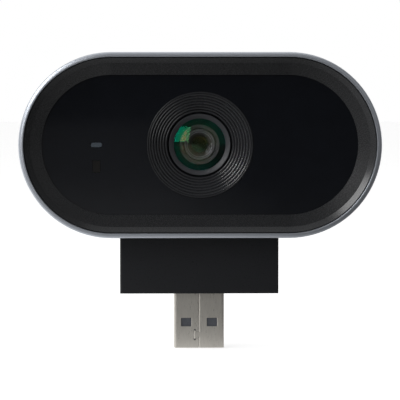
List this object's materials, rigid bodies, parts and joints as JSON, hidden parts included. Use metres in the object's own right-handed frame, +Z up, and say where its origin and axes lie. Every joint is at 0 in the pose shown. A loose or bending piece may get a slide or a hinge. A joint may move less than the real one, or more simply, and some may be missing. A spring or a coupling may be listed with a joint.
{
  "type": "webcam",
  "caption": "Webcam with a wide rounded head: a silver shell, a stepped black bezel, a smoked window and a lens in a ridged cone. It tilts on a short black neck with a USB-A plug.",
  "frame": {"origin": "middle of the neck's lower face, on the plug's axis", "axes": "+Z up the neck into the head, +X to the right as seen from the front, and the lens looks along -Y"},
  "size_m": [0.086, 0.023, 0.0711],
  "materials": {
    "silver_paint": "satin metallic paint on moulded plastic",
    "bezel_black": "fine matte, moulded",
    "smoked_window": "polished, smoked",
    "tape_black": "foam tape",
    "cone_black": "matte, moulded",
    "barrel_black": "satin, moulded",
    "coated_glass": "polished, coated",
    "ring_grey": "matte",
    "filter_glass": "polished, coated",
    "holder_plastic": "moulded",
    "sensor_package": "ceramic package",
    "board_green": "glass fibre laminate with solder mask",
    "chip_black": "moulded package",
    "component_ceramic": "fired ceramic",
    "can_metal": "tinned",
    "pad_blue": "soft pad",
    "spreader_metal": "plain rolled",
    "led_white": "moulded package",
    "guide_clear": "polished light guide",
    "boot_rubber": "moulded",
    "connector_ivory": "moulded",
    "wire_black": "sleeved",
    "hinge_steel": "turned",
    "bush_brass": "turned",
    "washer_nylon": "punched",
    "screw_steel": "plated",
    "neck_black": "smooth satin, moulded",
    "plug_nickel": "nickel plated sheet",
    "tongue_plastic": "moulded",
    "contact_gold": "gold plated"
  },
  "bodies": {
    "neck": {"hinge_pin": "hinge_steel", "spring_washers": "hinge_steel", "hinge_nut": "hinge_steel", "trunnion": "hinge_steel", "trunnion_clip": "hinge_steel", "neck_housing": "neck_black", "neck_cover": "neck_black", "cover_screws": "screw_steel", "usb_shell": "plug_nickel", "usb_tongue": "tongue_plastic", "usb_contacts": "contact_gold", "usb_board": "board_green", "usb_board_screws": "screw_steel", "usb_board_parts": "component_ceramic", "neck_socket": "connector_ivory", "neck_plug": "connector_ivory", "neck_harness": "wire_black"},
    "head": {"rear_shell": "silver_paint", "bezel_gasket": "tape_black", "bezel": "bezel_black", "panel_adhesive": "tape_black", "window_panel": "smoked_window", "funnel_adhesive": "tape_black", "lens_funnel": "cone_black", "lens_barrel": "barrel_black", "front_lens": "coated_glass", "lens_ring": "ring_grey", "lens_baffle": "ring_grey", "inner_lens": "coated_glass", "iris": "barrel_black", "rear_lens": "coated_glass", "lens_retainer": "barrel_black", "lens_holder": "holder_plastic", "holder_screws": "screw_steel", "ir_filter": "filter_glass", "image_sensor": "sensor_package", "main_board": "board_green", "board_screws": "screw_steel", "board_parts": "component_ceramic", "image_processor": "chip_black", "shield_can": "can_metal", "thermal_pad": "pad_blue", "heat_spreader": "spreader_metal", "status_led": "led_white", "light_pipe": "guide_clear", "light_sensor": "sensor_package", "sensor_guide": "guide_clear", "microphones": "can_metal", "mic_boots": "boot_rubber", "harness_socket": "connector_ivory", "harness_plug": "connector_ivory", "head_harness": "wire_black", "hinge_bush": "bush_brass", "friction_washer": "washer_nylon", "trunnion_bush": "bush_brass"}
  },
  "joints": [
    {"name": "head_tilt", "type": "hinge", "parent": "neck", "child": "head", "pos_m": [0, 0, 0.0204], "axis": [1, 0, 0], "range_deg": [-5, 20]}
  ]
}
